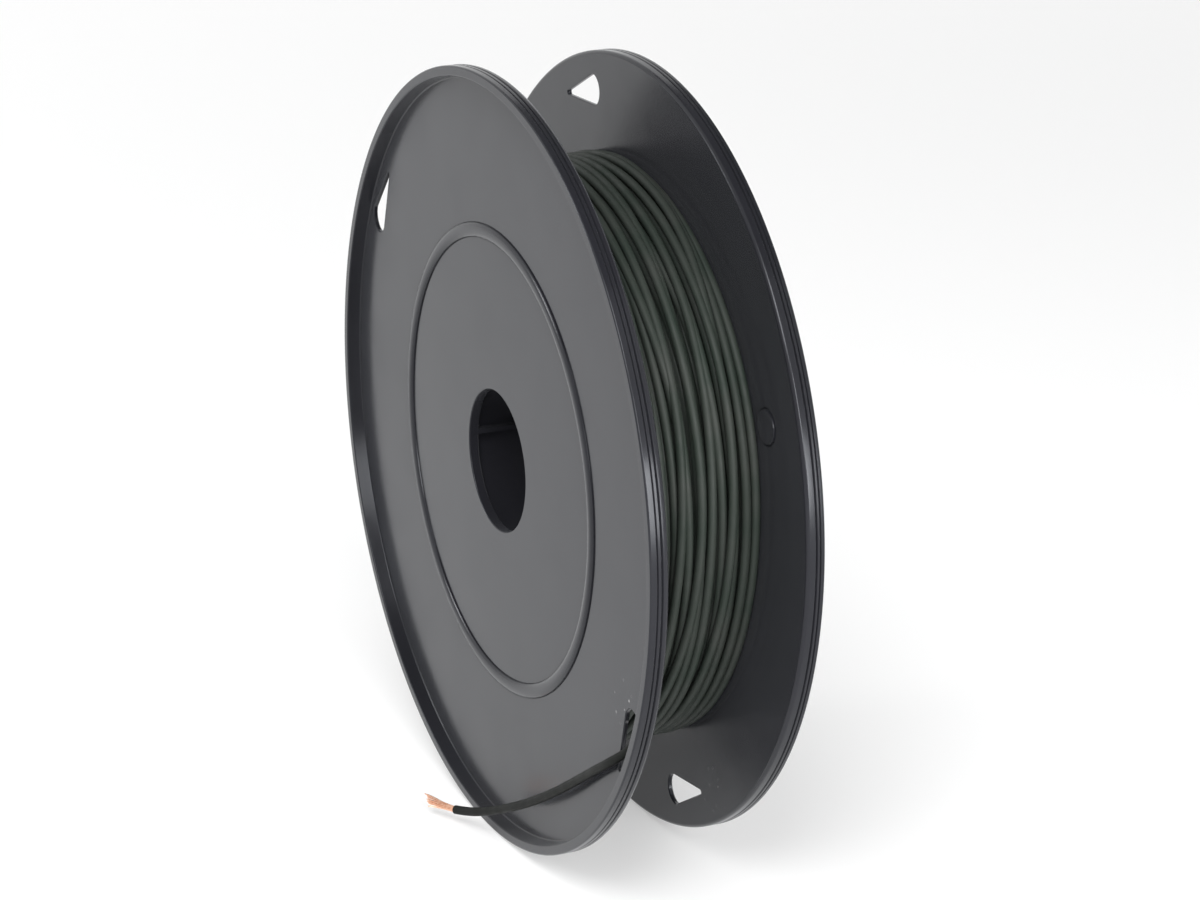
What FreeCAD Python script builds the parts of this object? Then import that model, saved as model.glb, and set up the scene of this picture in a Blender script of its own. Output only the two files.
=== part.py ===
"""Wire spool: two moulded flange halves, the stranded wire wound between them and its stripped free end.

Frame: the spool's axis is Y, the origin is on it halfway between the flanges, +Z is up, and the spool stands on
its two rims at Z = -rim_radius. The wire comes out through a slot in the flange at -Y. Millimetres and degrees.
"""

import FreeCAD
import Part
import math
import os

import Sketcher

V = FreeCAD.Vector

DIMENSIONS = {
    # flange half, radii from the axis and heights from the plane where the two halves meet
    "rim_radius": 100.0,
    "half_width": 22.5,
    "lip_height": 3.6,
    "lip_width": 2.5,
    "lip_draft": 0.5,
    "rim_edge": 0.45,
    "rim_back_edge": 0.9,
    "disc_thickness": 1.25,
    "bead_inset": 1.3,
    "bead_width": 3.6,
    "bead_height": 0.8,
    "barrel_radius": 60.0,
    "barrel_wall": 1.8,
    "hub_radius": 22.4,
    "hub_wall": 1.9,
    "bore_radius": 18.3,
    "bore_collar": 2.6,
    "bore_edge": 0.3,
    "half_turn": 40.0,
    # fingers and gaps where the two hub tubes plug into each other, and the ribs inside them
    "finger_count": 6,
    "finger_angle": 15.0,
    "finger_length": 3.0,
    "finger_play": 0.15,
    "rib_count": 3,
    "rib_width": 1.2,
    # cable slots, wedges with both ends curved, at slightly different places in the two halves
    "front_slot_inset": 7.5,
    "front_slot_first_angle": 102.0,
    "front_slot_second_angle": 284.1,
    "rear_slot_inset": 8.75,
    "rear_slot_first_angle": 101.2,
    "rear_slot_second_angle": 285.5,
    "slot_lean": 9.2,
    "slot_length": 16.2,
    "slot_width": 7.9,
    "slot_bulge": 3.7,
    "slot_tip_width": 1.0,
    "slot_tip_bulge": 0.4,
    # round pad on the inner face, set in from the rim
    "pad_angle": 20.0,
    "pad_inset": 16.8,
    "pad_radius": 4.25,
    "pad_height": 0.4,
    # wire on the spool, wound to a depth on the barrel
    "wire_diameter": 2.3,
    "wound_depth": 15.0,
    "turn_gap": 0.95,
    "unevenness": 0.2,
    "side_gap": 0.6,
    "layer_gap": 0.2,
    "climb_radius": 40.0,
    "climb_angle": 34.0,
    "lead_start": 15.0,
    # bare copper end
    "strand_diameter": 0.31,
    "strand_gap": 0.03,
    "strand_start": 0.08,
    "strand_spread": 1.5,
    "tuft_split": 0.9,
}

# Outlines that are narrow and lie on a radius are drawn about a sketch's diagonal and turned back by its
# attachment, so that none of their corners falls on a sketch axis
SKEW = 45
# Sides of the swept wire's section
TURN_SIDES = 4
LEAD_SIDES = 6
STRAND_SIDES = 6
# Where the last turn leaves the winding, in degrees above +X, and how often the layer sways across the spool
LAST_TURN_ANGLE = 9.5
LAYER_WAVES = 7
# Share of the shorter run that an arc of the lead takes up, and steps by which the strands are cut short
ARC_SHARE = 0.45
CUT_STEP = 0.03
# Corners of the free lead's route from beside the winding to the stripped end: down the inner face of the front
# flange, out through its slot and across its recessed face
LEAD_ROUTE = [
    V(78.1, -16.15, -22.3),
    V(82.2, -16.2, -39.0),
    V(79.8, -17.2, -47.1),
    V(74.6, -21.7, -52.3),
    V(61.8, -21.1, -60.4),
    V(47.3, -22.1, -70.4),
    V(32.7, -23.4, -79.6),
    V(18.5, -25.0, -87.3),
    V(8.0, -26.9, -92.2),
    V(1.2, -28.4, -94.8),
    V(-3.0, -30.2, -95.6),
]
# Where the bare strands end, in the middle of the tuft
COPPER_TIP = V(-11.1, -34.6, -95.6)

doc = FreeCAD.newDocument("WireSpool")
sheet = doc.addObject("Spreadsheet::Sheet", "Dims")


def fill_sheet():
    """One row for each driving dimension: its name, its value and an alias."""
    for row, (name, value) in enumerate(DIMENSIONS.items(), start=1):
        sheet.set(f"A{row}", name)
        sheet.set(f"B{row}", str(value))
        sheet.setAlias(f"B{row}", name)
    doc.recompute()


def dim(name):
    """A driving dimension as the sheet holds it."""
    return float(sheet.get(name))


def origin_plane(body, role):
    return next(f for f in body.Origin.OriginFeatures if f.Role == role)


def new_sketch(body, name, role, turn=None, height=None):
    """A sketch on one of the body's own planes, turned about its normal and raised where that is asked for."""
    sketch = body.newObject("Sketcher::SketchObject", name)
    sketch.AttachmentSupport = [(origin_plane(body, role), "")]
    sketch.MapMode = "FlatFace"
    if turn is not None:
        sketch.setExpression("AttachmentOffset.Rotation.Angle", turn)
    if height is not None:
        sketch.setExpression("AttachmentOffset.Base.z", height)
    return sketch


def pin_point(sketch, edge, end, place):
    """Bind one end of a sketch edge to its two coordinates, each an expression of the sheet's values."""
    for axis, kind, line in ((0, "DistanceX", -2), (1, "DistanceY", -1)):
        value = float(sketch.evalExpression(place[axis]))
        if value == 0:
            sketch.addConstraint(Sketcher.Constraint("PointOnObject", edge, end, line))
            continue
        number = sketch.addConstraint(Sketcher.Constraint(kind, -1, 1, edge, end, value))
        sketch.setExpression(f"Constraints[{number}]", place[axis])


def closed_outline(sketch, corners, bulges=None):
    """A closed outline through the corners; an edge with a bulge is an arc, given by its rise and its chord."""
    bulges = bulges or {}
    places = [V(*(float(sketch.evalExpression(e)) for e in corner), 0) for corner in corners]
    count = len(places)
    for i, start in enumerate(places):
        end = places[(i + 1) % count]
        if i in bulges:
            chord = end - start
            out = V(chord.y, -chord.x, 0).normalize()
            top = (start + end) * 0.5 + out * float(sketch.evalExpression(bulges[i][0]))
            sketch.addGeometry(Part.Arc(start, top, end))
        else:
            sketch.addGeometry(Part.LineSegment(start, end))
    for i in range(count):
        sketch.addConstraint(Sketcher.Constraint("Coincident", i, 2, (i + 1) % count, 1))
        pin_point(sketch, i, 1, corners[i])
    for i, (rise, chord) in bulges.items():
        radius = sketch.Geometry[i].Radius
        number = sketch.addConstraint(Sketcher.Constraint("Radius", i, radius))
        sketch.setExpression(f"Constraints[{number}]", f"(({chord} / 2)^2 + {rise}^2) / (2 * {rise})")


def polar(radius, angle):
    """Sketch coordinates of a point at a radius and an angle, as expressions."""
    return f"({radius}) * cos({angle})", f"({radius}) * sin({angle})"


def flange_half(side):
    """One moulding in its own frame: axis Z, meeting plane Z = 0, outer face up."""
    name = "flange_half_" + side
    body = doc.addObject("PartDesign::Body", name)
    rim = "Dims.rim_radius"
    top = "Dims.half_width"
    floor = "Dims.half_width - Dims.lip_height"
    inner = "Dims.half_width - Dims.lip_height - Dims.disc_thickness"
    collar = "Dims.half_width - Dims.lip_height - Dims.bore_collar"
    lip = "Dims.rim_radius - Dims.lip_width"
    bead = "Dims.barrel_radius - Dims.bead_inset"
    edge = "Dims.rim_edge"
    back_edge = "Dims.rim_back_edge"

    section = new_sketch(body, name + "Section", "XZ_Plane")
    closed_outline(
        section,
        [
            ("Dims.bore_radius + Dims.bore_edge", floor),
            (bead + " - Dims.bead_width / 2", floor),
            (bead, floor + " + Dims.bead_height"),
            (bead + " + Dims.bead_width / 2", floor),
            (f"{lip} - Dims.lip_draft", floor),
            (lip, top),
            (f"{rim} - {edge}", top),
            (rim, f"{top} - {edge}"),
            (rim, f"{inner} + {back_edge}"),
            (f"{rim} - {back_edge}", inner),
            ("Dims.barrel_radius", inner),
            ("Dims.barrel_radius", "0"),
            ("Dims.barrel_radius - Dims.barrel_wall", "0"),
            ("Dims.barrel_radius - Dims.barrel_wall", inner),
            ("Dims.hub_radius", inner),
            ("Dims.hub_radius", "0"),
            ("Dims.hub_radius - Dims.hub_wall", "0"),
            ("Dims.hub_radius - Dims.hub_wall", collar),
            ("Dims.bore_radius", collar),
            ("Dims.bore_radius", f"{floor} - Dims.bore_edge"),
        ],
    )
    turned = body.newObject("PartDesign::Revolution", name + "Turned")
    turned.Profile = section
    turned.ReferenceAxis = (section, ["V_Axis"])
    turned.Angle = 360
    doc.recompute()

    add_ribs(body, name, collar)
    add_fingers(body, name)
    add_pad(body, name, inner)
    for which in ("first", "second"):
        cut_slot(body, side, which, inner)
    return body


def cut_slot(body, side, which, inner):
    """One wedge slot through the disc, from its narrow end anticlockwise to its wide end."""
    name = f"{side}_slot_{which}"
    sketch = new_sketch(
        body,
        name + "_outline",
        "XY_Plane",
        turn=f"Dims.{name}_angle - {SKEW}",
        height=inner + " - Dims.disc_thickness",
    )
    tip = polar(f"Dims.rim_radius - Dims.{side}_slot_inset", SKEW)
    along = polar("Dims.slot_length", f"{SKEW} + 90 + Dims.slot_lean")
    wide = tuple(f"{a} + {b}" for a, b in zip(tip, along))
    corners = []
    for middle, width, signs in ((tip, "Dims.slot_tip_width", "-+"), (wide, "Dims.slot_width", "+-")):
        across = polar(width + " / 2", f"{SKEW} + Dims.slot_lean")
        corners += [tuple(f"{a} {sign} {b}" for a, b in zip(middle, across)) for sign in signs]
    bulges = {0: ("Dims.slot_tip_bulge", "Dims.slot_tip_width"), 2: ("Dims.slot_bulge", "Dims.slot_width")}
    closed_outline(sketch, corners, bulges)
    pocket = body.newObject("PartDesign::Pocket", name + "_cut")
    pocket.Profile = sketch
    pocket.Reversed = True
    pocket.setExpression("Length", "3 * Dims.disc_thickness")
    doc.recompute()


def add_pad(body, name, inner):
    """The round pad that an ejector pin leaves on the disc's inner face."""
    sketch = new_sketch(body, name + "PadCircle", "XY_Plane", turn="Dims.pad_angle", height=inner)
    orbit = dim("rim_radius") - dim("pad_inset")
    sketch.addGeometry(Part.Circle(V(orbit, 0, 0), V(0, 0, 1), dim("pad_radius")))
    sketch.addConstraint(Sketcher.Constraint("PointOnObject", 0, 3, -1))
    number = sketch.addConstraint(Sketcher.Constraint("DistanceX", -1, 1, 0, 3, orbit))
    sketch.setExpression(f"Constraints[{number}]", "Dims.rim_radius - Dims.pad_inset")
    number = sketch.addConstraint(Sketcher.Constraint("Radius", 0, dim("pad_radius")))
    sketch.setExpression(f"Constraints[{number}]", "Dims.pad_radius")
    pad = body.newObject("PartDesign::Pad", name + "Pad")
    pad.Profile = sketch
    pad.Reversed = True
    pad.setExpression("Length", "Dims.pad_height")
    doc.recompute()


def polar_pattern(body, name, original, count):
    pattern = body.newObject("PartDesign::PolarPattern", name)
    pattern.Originals = [original]
    pattern.Axis = (original.Profile[0], ["N_Axis"])
    pattern.Angle = 360
    pattern.setExpression("Occurrences", count)
    body.Tip = pattern
    doc.recompute()


def add_ribs(body, name, collar):
    """Slim ribs inside the hub tube that carry the bore on from the collar."""
    sketch = new_sketch(body, name + "RibBase", "XY_Plane", turn=f"Dims.finger_angle - {SKEW}")
    half = polar("Dims.rib_width / 2", SKEW + 90)
    corners = []
    for radius, signs in (("Dims.bore_radius", "-+"), ("Dims.hub_radius - Dims.hub_wall / 2", "+-")):
        foot = polar(radius, SKEW)
        corners += [tuple(f"{a} {sign} {b}" for a, b in zip(foot, half)) for sign in signs]
    closed_outline(sketch, corners)
    rib = body.newObject("PartDesign::Pad", name + "Rib")
    rib.Profile = sketch
    rib.setExpression("Length", collar)
    doc.recompute()
    polar_pattern(body, name + "Ribs", rib, "Dims.rib_count")


def add_fingers(body, name):
    """Every second sector of the hub tube's end stands out as a finger, and the ones between are cut back."""
    step = "(180 / Dims.finger_count)"
    play = "(Dims.finger_play / Dims.hub_radius * 180 / pi)"
    inside = "Dims.hub_radius - Dims.hub_wall"
    outside = "Dims.hub_radius"
    kinds = (
        ("Finger", "Pad", "0", f"({step} / 2 - {play})", "0", "Dims.finger_length"),
        ("Gap", "Pocket", step, f"({step} / 2)", "Dims.finger_play", "Dims.finger_length + Dims.finger_play"),
    )
    for kind, operation, offset, half, spare, length in kinds:
        turn = f"Dims.finger_angle + {offset} - {SKEW}"
        sketch = new_sketch(body, f"{name}{kind}Sector", "XY_Plane", turn=turn)
        arc_sector(sketch, f"({inside} - {spare})", f"({outside} + {spare})", half)
        feature = body.newObject("PartDesign::" + operation, name + kind)
        feature.Profile = sketch
        feature.Reversed = True
        feature.setExpression("Length", length)
        doc.recompute()
        polar_pattern(body, f"{name}{kind}s", feature, "Dims.finger_count")


def arc_sector(sketch, inside, outside, half):
    """A ring sector about the diagonal of the sketch: two arcs about the origin and two radial lines."""
    low, high = (float(sketch.evalExpression(f"{SKEW} {sign} {half}")) for sign in "-+")
    radii = [float(sketch.evalExpression(r)) for r in (inside, outside)]
    start, stop = math.radians(low), math.radians(high)
    for radius in radii:
        circle = Part.Circle(V(0, 0, 0), V(0, 0, 1), radius)
        sketch.addGeometry(Part.ArcOfCircle(circle, start, stop))
    ends = [[V(r * math.cos(a), r * math.sin(a), 0) for r in radii] for a in (start, stop)]
    for inner_end, outer_end in ends:
        sketch.addGeometry(Part.LineSegment(inner_end, outer_end))
    for arc in (0, 1):
        sketch.addConstraint(Sketcher.Constraint("Coincident", arc, 3, -1, 1))
    for line, end in ((2, 1), (3, 2)):
        sketch.addConstraint(Sketcher.Constraint("Coincident", line, 1, 0, end))
        sketch.addConstraint(Sketcher.Constraint("Coincident", line, 2, 1, end))
    pin_point(sketch, 2, 1, polar(inside, f"{SKEW} - {half}"))
    pin_point(sketch, 2, 2, polar(outside, f"{SKEW} - {half}"))
    number = sketch.addConstraint(Sketcher.Constraint("Angle", -1, 1, 3, 1, math.radians(high)))
    sketch.setExpression(f"Constraints[{number}]", f"{SKEW} + {half}")


def settle(shape, label):
    """A shape made by functions, kept as a feature of the document under its own label."""
    feature = doc.addObject("Part::Feature", "".join(w.title() for w in label.split("_")))
    feature.Shape = shape
    feature.Label = label
    return feature


def bevel_route(points):
    """Straight runs joined by tangent arcs as large as the runs allow; also returns the arcs' radii."""
    edges = []
    radii = []
    last = points[0]
    for before, corner, after in zip(points, points[1:], points[2:]):
        arriving = corner - before
        leaving = after - corner
        turn = arriving.getAngle(leaving)
        reach = ARC_SHARE * min(arriving.Length, leaving.Length)
        radii.append(reach / math.tan(turn / 2))
        arriving.normalize()
        leaving.normalize()
        start = corner - arriving * reach
        stop = corner + leaving * reach
        inward = (leaving - arriving).normalize()
        sagitta = reach * math.tan(turn / 4)
        middle = (start + stop) * 0.5 - inward * sagitta
        edges.append(Part.LineSegment(last, start).toShape())
        edges.append(Part.Arc(start, middle, stop).toShape())
        last = stop
    edges.append(Part.LineSegment(last, points[-1]).toShape())
    return edges, radii


def sweep(edges, diameter, sides, corner_towards):
    """A solid tube of regular section along edges that follow each other without a kink."""
    path = Part.Wire(edges)
    start = path.OrderedEdges[0]
    first = start.valueAt(start.FirstParameter)
    ahead = start.tangentAt(start.FirstParameter)
    across = (corner_towards - ahead * corner_towards.dot(ahead)).normalize()
    beside = ahead.cross(across)
    corners = []
    for i in range(sides):
        angle = 2 * math.pi * i / sides
        corners.append(first + (across * math.cos(angle) + beside * math.sin(angle)) * (diameter / 2))
    profile = Part.makePolygon(corners + [corners[0]])
    shell = Part.BRepOffsetAPI.MakePipeShell(path)
    shell.add(profile)
    shell.build()
    shell.makeSolid()
    return shell.shape(), path


def section_area(diameter, sides):
    return sides / 2 * (diameter / 2) ** 2 * math.sin(2 * math.pi / sides)


def report_tube(name, solid, path, diameter, sides):
    expected = section_area(diameter, sides) * path.Length
    print(f"{name}: length {path.Length:.1f} mm, volume {solid.Volume:.1f} of {expected:.1f} mm3")


def biarc(start, start_way, end, end_way):
    """Two arcs that leave start along start_way and reach end along end_way without a kink."""
    chord = end - start
    both = start_way + end_way
    spread = 2 * (1 - start_way.dot(end_way))
    along = chord.dot(both)
    reach = (-along + math.sqrt(along ** 2 + spread * chord.dot(chord))) / spread
    joint = (start + end + (start_way - end_way) * reach) * 0.5
    return [arc_from(start, start_way, joint), arc_from(end, end_way * -1, joint, back=True)]


def arc_from(start, way, end, back=False):
    """The arc from start, along way, to end; back gives it the other way round."""
    chord = end - start
    angle = way.getAngle(chord)
    side = (chord - way * chord.dot(way)).normalize()
    radius = chord.Length / (2 * math.sin(angle))
    middle = start + side * radius + (way * math.sin(angle) - side * math.cos(angle)) * radius
    arc = Part.Arc(end, middle, start) if back else Part.Arc(start, middle, end)
    return arc.toShape()


class Winding:
    """The outer layer: where its centre line runs, from the flange at +Y to the one at -Y, falling in angle."""

    def __init__(self):
        self.wire = dim("wire_diameter")
        self.radius = dim("barrel_radius") + dim("wound_depth") - self.wire / 2
        inner = dim("half_width") - dim("lip_height") - dim("disc_thickness")
        self.last = inner - dim("side_gap") - self.wire / 2
        self.turns = math.floor(2 * 2 * self.last / (self.wire + dim("turn_gap"))) / 2
        self.pitch = 2 * self.last / self.turns
        self.unevenness = dim("unevenness")

    def place(self, turn):
        """Centre line after so many turns, with its direction."""
        angle = math.radians(LAST_TURN_ANGLE) + 2 * math.pi * (self.turns - turn)
        wave = math.pi * LAYER_WAVES / self.turns
        across = self.last - self.pitch * turn + self.unevenness * math.sin(wave * turn)
        drift = (-self.pitch + self.unevenness * wave * math.cos(wave * turn)) / (2 * math.pi * self.radius)
        spot = V(self.radius * math.cos(angle), across, self.radius * math.sin(angle))
        way = V(math.sin(angle), drift, -math.cos(angle)).normalize()
        return spot, way

    def edges(self):
        """Half turns as biarcs, with one straight diameter at each end."""
        first, first_way = self.place(0)
        edges = [Part.LineSegment(first - first_way * self.wire, first).toShape()]
        for i in range(round(2 * self.turns)):
            edges += biarc(*self.place(i / 2), *self.place((i + 1) / 2))
        last, last_way = self.place(self.turns)
        edges.append(Part.LineSegment(last, last + last_way * self.wire).toShape())
        return edges

    def least_gap(self, path):
        """Smallest clear distance between neighbouring turns, measured on points along the centre line."""
        per_turn = 90
        points = path.discretize(Number=round(per_turn * self.turns))
        least = min(
            points[i].distanceToPoint(points[j])
            for i in range(len(points))
            for j in range(i + per_turn // 2, min(i + per_turn * 3 // 2, len(points)))
        )
        return least - self.wire


def cable_inner_layers(winding):
    """The layers below the outer one as a plain ring, with the turn that climbs to the outer layer."""
    inner = "Dims.half_width - Dims.lip_height - Dims.disc_thickness"
    cylinders = []
    for name, radius in (
        ("InnerLayersOutside", "Dims.barrel_radius + Dims.wound_depth - Dims.wire_diameter - Dims.layer_gap"),
        ("InnerLayersInside", "Dims.barrel_radius + Dims.layer_gap"),
    ):
        cylinder = doc.addObject("Part::Cylinder", name)
        cylinder.setExpression("Radius", radius)
        cylinder.setExpression("Height", f"2 * ({inner} - Dims.layer_gap)")
        cylinder.Placement.Rotation = FreeCAD.Rotation(V(1, 0, 0), 90)
        cylinder.setExpression("Placement.Base.y", f"{inner} - Dims.layer_gap")
        cylinders.append(cylinder)
    ring = doc.addObject("Part::Cut", "InnerLayersRing")
    ring.Base, ring.Tool = cylinders

    wire = dim("wire_diameter")
    start, way = winding.place(0)
    start = start - way * wire
    inward = V(-start.x, 0, -start.z).normalize()
    radius = dim("climb_radius")
    centre = start + inward * radius
    half, full = (math.radians(dim("climb_angle") * k) for k in (0.5, 1.0))
    spots = [centre - inward * radius * math.cos(a) - way * radius * math.sin(a) for a in (full, half)]
    edge = Part.Arc(spots[0], spots[1], start).toShape()
    solid, _path = sweep([edge], wire, TURN_SIDES, inward)
    climb = settle(solid, "climbing_turn")
    layers = doc.addObject("Part::Fuse", "InnerLayers")
    layers.Base = ring
    layers.Tool = climb
    layers.Label = "cable_inner_layers"
    return layers


def cable_outer_layer(winding):
    edges = winding.edges()
    first, _way = winding.place(0)
    outward = V(first.x, 0, first.z).normalize()
    solid, path = sweep(edges, winding.wire, TURN_SIDES, outward)
    report_tube("outer layer", solid, path, winding.wire, TURN_SIDES)
    print(f"outer layer: {winding.turns} turns, least gap {winding.least_gap(path):.2f} mm")
    return settle(solid, "cable_outer_layer")


def cable_lead(winding):
    """The free end of the wire: out of the winding, along the flange, through its slot and across its face."""
    last, way = winding.place(winding.turns)
    start = last + way * winding.wire
    points = [start, start + way * dim("lead_start")] + LEAD_ROUTE
    edges, radii = bevel_route(points)
    outward = V(last.x, 0, last.z).normalize()
    solid, path = sweep(edges, winding.wire, LEAD_SIDES, outward)
    report_tube("lead", solid, path, winding.wire, LEAD_SIDES)
    print("lead radii " + " ".join(f"{r:.1f}" for r in radii))
    return settle(solid, "cable_lead")


def copper_strands():
    """The stripped end: one strand in the middle, six round it and twelve round those, fanned into two tufts."""
    root = LEAD_ROUTE[-1]
    ahead = (root - LEAD_ROUTE[-2]).normalize()
    beside = ahead.cross(V(0, 0, 1)).normalize()
    upward = beside.cross(ahead)
    pitch = dim("strand_diameter") + dim("strand_gap")
    spread = dim("strand_spread")
    spots = [(0.0, 0.0)]
    for ring, count in ((1, 6), (2, 12)):
        for i in range(count):
            angle = 2 * math.pi * i / count
            reach = pitch * ring
            if ring == 2 and i % 2:
                reach = pitch * math.sqrt(3)
            spots.append((reach * math.cos(angle), reach * math.sin(angle)))
    strands = []
    for number, (side, rise) in enumerate(spots, start=1):
        lift = dim("tuft_split") if rise > pitch / 2 else 0
        start = root + ahead * dim("strand_start") + beside * side + upward * rise
        tip = COPPER_TIP + beside * (side * spread) + upward * (rise * spread + lift)
        end = tip + (start - tip) * (CUT_STEP * (number * 7 % 4))
        edge = Part.LineSegment(start, end).toShape()
        solid, _path = sweep([edge], dim("strand_diameter"), STRAND_SIDES, upward)
        strands.append(settle(solid, f"copper_strand_{number:02d}"))
    return strands


def check_document():
    """Stop before anything is written if an object of the document has failed."""
    for item in doc.Objects:
        if {"Invalid", "Error"} & set(item.State):
            raise RuntimeError(f"{item.Name} failed: {item.State}")


def main():
    fill_sheet()
    winding = Winding()

    front = flange_half("front")
    rear = flange_half("rear")
    # Each half is turned about its axis, and the rear one is turned over as well
    spin = FreeCAD.Rotation(V(0, 1, 0), -dim("half_turn"))
    for half, tip in ((front, 90), (rear, -90)):
        half.Placement = FreeCAD.Placement(V(0, 0, 0), spin.multiply(FreeCAD.Rotation(V(1, 0, 0), tip)))

    nodes = [front, rear, cable_inner_layers(winding), cable_outer_layer(winding), cable_lead(winding)]
    nodes += copper_strands()
    doc.recompute()
    check_document()

    shapes = {node.Label: Part.getShape(node) for node in nodes}
    for label, shape in shapes.items():
        if shape.isNull() or not shape.isValid() or len(shape.Solids) != 1:
            raise RuntimeError(f"{label} is not one valid solid")
    os.makedirs("parts", exist_ok=True)
    for label, shape in shapes.items():
        shape.exportStep(f"parts/{label}.step")
        print(f"{label}: {shape.Volume / 1000:.2f} cm3")


main()
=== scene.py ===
"""Wire spool: two moulded flange halves, the wire wound between them and its stripped end, on a pale floor.

Lengths are millimetres, which MM turns into Blender's metres, and angles are degrees, unless a comment says
otherwise. The spool's axis is Y.
"""

import math
import random

import bpy
from mathutils import Matrix, Vector


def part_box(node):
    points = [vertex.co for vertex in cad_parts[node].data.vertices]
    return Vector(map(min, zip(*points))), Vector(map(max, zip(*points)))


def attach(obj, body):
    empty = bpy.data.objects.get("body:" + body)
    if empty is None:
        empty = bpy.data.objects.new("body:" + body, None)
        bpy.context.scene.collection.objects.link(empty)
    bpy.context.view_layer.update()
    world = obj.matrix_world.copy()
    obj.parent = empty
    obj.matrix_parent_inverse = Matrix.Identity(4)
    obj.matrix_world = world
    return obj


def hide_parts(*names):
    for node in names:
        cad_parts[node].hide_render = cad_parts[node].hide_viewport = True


MM = 0.001

# The photograph's camera: turned about Z from the -Y side, raised, and a little off the spool's middle
CAMERA_AZIMUTH = 65.863
CAMERA_ELEVATION = 19.376
CAMERA_DISTANCE = 957.263
CAMERA_OFF_CENTRE = (8.784, 0.157)
CAMERA_LENS = 113.02
CAMERA_SENSOR = 36
CAMERA_CLIP_START = 50

# Flange half, in its own frame: radii from the axis, heights from the plane where the halves meet
LIP_WIDTH = 2.5
LIP_HEIGHT = 3.6
LIP_DRAFT = 0.5
LIP_FOOT_ROUNDING = 0.4
LIP_EDGE_ROUNDING = 0.35
RIM_EDGE_ROUNDING = 0.45
RIM_BACK_ROUNDING = 1.0
RIM_GROOVE_ROUNDING = 0.05
DISC_THICKNESS = 1.25
BEAD_RADIUS = 58.7
BEAD_WIDTH = 3.6
BEAD_HEIGHT = 0.8
BEAD_STEPS = 10
BEAD_GROOVE_WIDTH = 0.45
BEAD_GROOVE_DEPTH = 0.25
BARREL_RADIUS = 60.0
BARREL_WALL = 1.8
BARREL_FOOT_ROUNDING = 0.4
HUB_RADIUS = 22.4
HUB_WALL = 1.9
HUB_ROUNDING = 0.2
WALL_FOOT_ROUNDING = 0.3
BORE_RADIUS = 18.3
BORE_COLLAR = 2.6
BORE_ROUNDING = 0.3
# How far a half is turned about the spool's axis, so that its slots lie where the photograph has them
HALF_TURN = 40.0
# Fingers at the hub tube's end, the first one at the finger angle, with play at their tips and, in degrees,
# at their sides
FINGERS = 6
FINGER_ANGLE = 15.0
FINGER_LENGTH = 3.0
FINGER_PLAY = 0.15
FINGER_SIDE_PLAY = 0.3
RIBS = 3
RIB_WIDTH = 1.2
SLOT_LEAN = 9.2
SLOT_LENGTH = 16.2
SLOT_WIDTH = 7.9
SLOT_BULGE = 3.7
SLOT_WIDE_STEPS = 8
SLOT_TIP_WIDTH = 1.0
SLOT_TIP_BULGE = 0.4
SLOT_TIP_STEPS = 6
# How far the softened corners at a slot's ends run along its straight sides
SLOT_SOFTENING = 1.0
SLOT_EDGE = 0.25
PAD_ANGLE = 20.0
PAD_INSET = 16.8
PAD_RADIUS = 4.25
PAD_HEIGHT = 0.4
PAD_EDGE = 0.1
PAD_SIDES = 48
PAD_GROOVE_WIDTH = 0.5
PAD_GROOVE_DEPTH = 0.3
# The two halves' slots, by their distance from the rim and their angles, and the grooves round their rims,
# each by its distance from the outer edge, its width and its depth
FRONT_SLOTS = (7.5, (102.0, 284.1))
FRONT_GROOVES = ((1.9, 0.45, 0.4), (3.05, 0.6, 0.5))
REAR_SLOTS = (8.75, (101.2, 285.5))
REAR_GROOVES = ((1.25, 0.45, 0.4), (2.27, 0.6, 0.5))

# Mesh work: how far a cutter passes through a face and through a tube's wall, how far an added piece sinks
# into what carries it, how finely curves are stepped, and up to which angle edges are shaded smooth
CUT_PAST_FACE = 1.0
CUT_PAST_WALL = 0.5
SINK = 0.5
MERGE_DISTANCE = 0.01
TURN_STEPS = 256
ROUNDING_STEPS = 4
SECTOR_STEPS = 8
CORNER_CUT = 0.25
SOFTENING_ROUNDS = 2
MOULDED_SMOOTHING = 35
RIDGE_SMOOTHING = 60

# Wound wire: the outer layer's last turn ends at the wound reach, and each layer lies a rise above the last
WIRE = 2.3
WOUND_RADIUS = 75.0
WOUND_REACH = 15.9
WOUND_CLEARANCE = 0.1
LAYER_RISE = 2.0
LAST_TURN_ANGLE = 9.5
CLIMB_POINTS = 10
CORE_TURNS = 14
CORE_CLEARANCE = 0.2
RIDGE_STEPS = 6
# A layer's turns, and for its crossings from lane to lane their middle as a share of a turn, their swing from
# turn to turn and the seed of their unevenness
OUTER_TURNS = 11.5
OUTER_CROSSINGS = (0.46, 0.09, 4)
BELOW_TURNS = 13
BELOW_CROSSINGS = (0.5, 0.2, 9)
TURN_POINTS = 72
LANE_UNEVENNESS = 0.15
# The swing advances by these radians each turn; the crossings' jitter and lengths are shares of a turn
CROSSING_ADVANCE = 1.9
CROSSING_JITTER = 0.04
CROSSING_LENGTHS = (0.12, 0.24)
SWAY = 0.14
SWAYS_PER_TURN = 2.3
# A turn that overlaps an earlier one by more than this climbs over it, and one that overlaps it less is half
# pressed away; the reaches are numbers of points on each side
CLIMB_FROM = 0.6
PRESSED_SHARE = 0.5
LIFT_LIMIT = 1.6
LANE_SMOOTHING = 1
LIFT_SPREAD = 2
LIFT_SMOOTHING = 4
# The winding swells beside the rear flange: how high, at which angle and how far round, and where across the
# winding it starts and over which width it rises
BUMP_HEIGHT = 3.4
BUMP_ANGLE = 25
BUMP_SPREAD = 38
BUMP_START = 5
BUMP_RISE_WIDTH = 9

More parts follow.
